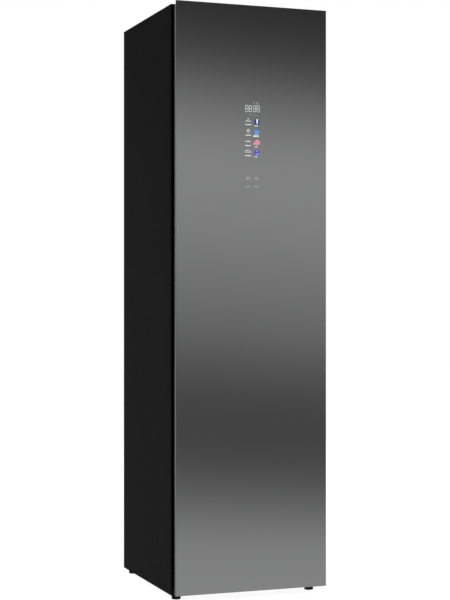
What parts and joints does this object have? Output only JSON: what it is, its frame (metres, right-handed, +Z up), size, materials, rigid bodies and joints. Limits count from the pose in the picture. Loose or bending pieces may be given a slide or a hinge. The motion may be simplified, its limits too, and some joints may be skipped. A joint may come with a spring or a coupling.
{
  "type": "clothes care steam cabinet",
  "caption": "Tall slim clothes care steam cabinet with a dark mirror-glass door, a garment chamber with a shaking hanger bar, and lift-out water tanks.",
  "frame": {"origin": "on the floor under the middle of the closed cabinet's box, door included", "axes": "+Z up, -Y out of the door's glass, +X to the viewer's right, which is the hinge side"},
  "size_m": [0.502, 0.568, 1.85],
  "materials": {
    "mirror_glass": "polished",
    "edge_aluminium": "satin",
    "black_steel": "satin",
    "black_plastic": "satin",
    "foot_plastic": "satin",
    "galvanised_steel": "satin",
    "brushed_steel": "satin",
    "liner_plastic": "satin",
    "pale_plastic": "satin",
    "tank_plastic": "gloss",
    "filter_mesh": "matte",
    "felt": "matte",
    "coil_aluminium": "satin",
    "copper": "satin",
    "hose_rubber": "matte",
    "gasket_rubber": "matte",
    "light_diffuser": "satin"
  },
  "bodies": {
    "cabinet": {"side_panel_left": "black_steel", "side_panel_right": "black_steel", "top_panel": "black_steel", "rear_panel": "galvanised_steel", "base_tray": "galvanised_steel", "front_frame": "black_plastic", "service_panel": "black_steel", "chamber_liner": "liner_plastic", "chamber_wall_left": "liner_plastic", "chamber_wall_right": "liner_plastic", "chamber_insulation": "felt", "tank_dock": "liner_plastic", "heat_pump_case": "liner_plastic", "evaporator": "coil_aluminium", "condenser": "coil_aluminium", "compressor": "black_steel", "suction_pipe": "copper", "discharge_pipe": "copper", "blower_housing": "liner_plastic", "blower_motor": "galvanised_steel", "air_duct": "liner_plastic", "outlet_grille": "liner_plastic", "steam_generator": "coil_aluminium", "steam_pipe": "hose_rubber", "steam_nozzle": "pale_plastic", "feed_pump": "black_plastic", "feed_hose": "hose_rubber", "control_box": "pale_plastic", "power_inlet": "black_plastic", "chamber_light": "light_diffuser", "carriage_rails": "pale_plastic", "drive_motor": "black_plastic", "hinge_bracket_top": "brushed_steel", "hinge_bracket_bottom": "brushed_steel"},
    "door": {"door_glass": "mirror_glass", "door_edge_trim": "edge_aluminium", "door_backing": "black_plastic", "door_insulation": "felt", "door_liner": "liner_plastic", "door_gasket": "gasket_rubber", "door_cap_top": "black_plastic", "door_cap_bottom": "black_plastic", "display_module": "black_plastic"},
    "fresh_water_tank": {"fresh_tank": "tank_plastic", "fresh_tank_lid": "pale_plastic"},
    "fresh_water_bail": {"fresh_tank_bail": "black_plastic"},
    "waste_water_tank": {"waste_tank": "tank_plastic", "waste_tank_lid": "pale_plastic"},
    "waste_water_bail": {"waste_tank_bail": "black_plastic"},
    "lint_filter": {"filter_frame": "pale_plastic", "filter_mesh": "filter_mesh"},
    "shaking_bar": {"hanger_carriage": "pale_plastic", "hanger_bar": "brushed_steel"},
    "pinion": {"drive_pinion": "pale_plastic"},
    "blower_wheel": {"blower_impeller": "black_plastic"},
    "shelf": {"garment_shelf": "liner_plastic"},
    "foot_front_left": {"front_left_foot": "foot_plastic"},
    "foot_front_right": {"front_right_foot": "foot_plastic"},
    "foot_rear_left": {"rear_left_foot": "foot_plastic"},
    "foot_rear_right": {"rear_right_foot": "foot_plastic"}
  },
  "joints": [
    {"name": "door_swing", "type": "hinge", "parent": "cabinet", "child": "door", "pos_m": [0.239, -0.258, 0.9], "axis": [0, 0, 1], "range_deg": [0, 110]},
    {"name": "fresh_tank_lift", "type": "slide", "parent": "cabinet", "child": "fresh_water_tank", "axis": [0, 0, 1], "range_m": [0, 0.23]},
    {"name": "fresh_tank_bail_swing", "type": "hinge", "parent": "fresh_water_tank", "child": "fresh_water_bail", "pos_m": [-0.1, -0.1857, 0.393], "axis": [1, 0, 0], "range_deg": [0, 95]},
    {"name": "waste_tank_lift", "type": "slide", "parent": "cabinet", "child": "waste_water_tank", "axis": [0, 0, 1], "range_m": [0, 0.23]},
    {"name": "waste_tank_bail_swing", "type": "hinge", "parent": "waste_water_tank", "child": "waste_water_bail", "pos_m": [0.1, -0.1857, 0.393], "axis": [1, 0, 0], "range_deg": [0, 95]},
    {"name": "lint_filter_lift", "type": "slide", "parent": "cabinet", "child": "lint_filter", "axis": [0, 0, 1], "range_m": [0, 0.12]},
    {"name": "hanger_shake", "type": "slide", "parent": "cabinet", "child": "shaking_bar", "axis": [1, 0, 0], "range_m": [-0.015, 0.015]},
    {"name": "pinion_turn", "type": "hinge", "parent": "cabinet", "child": "pinion", "pos_m": [0, 0.02615, 1.79], "axis": [0, 0, 1], "range_deg": [-72, 72]},
    {"name": "blower_spin", "type": "hinge", "parent": "cabinet", "child": "blower_wheel", "pos_m": [0, 0.2, 0.198], "axis": [0, 1, 0], "continuous": true},
    {"name": "shelf_lift", "type": "slide", "parent": "cabinet", "child": "shelf", "axis": [0, 0, 1], "range_m": [0, 0.25]},
    {"name": "front_left_foot_screw", "type": "slide", "parent": "cabinet", "child": "foot_front_left", "axis": [0, 0, -1], "range_m": [0, 0.012]},
    {"name": "front_right_foot_screw", "type": "slide", "parent": "cabinet", "child": "foot_front_right", "axis": [0, 0, -1], "range_m": [0, 0.012]},
    {"name": "rear_left_foot_screw", "type": "slide", "parent": "cabinet", "child": "foot_rear_left", "axis": [0, 0, -1], "range_m": [0, 0.012]},
    {"name": "rear_right_foot_screw", "type": "slide", "parent": "cabinet", "child": "foot_rear_right", "axis": [0, 0, -1], "range_m": [0, 0.012]}
  ],
  "couplings": [
    {"joint": "pinion_turn", "follows": "hanger_shake", "rad_per_m": 83.333}
  ]
}
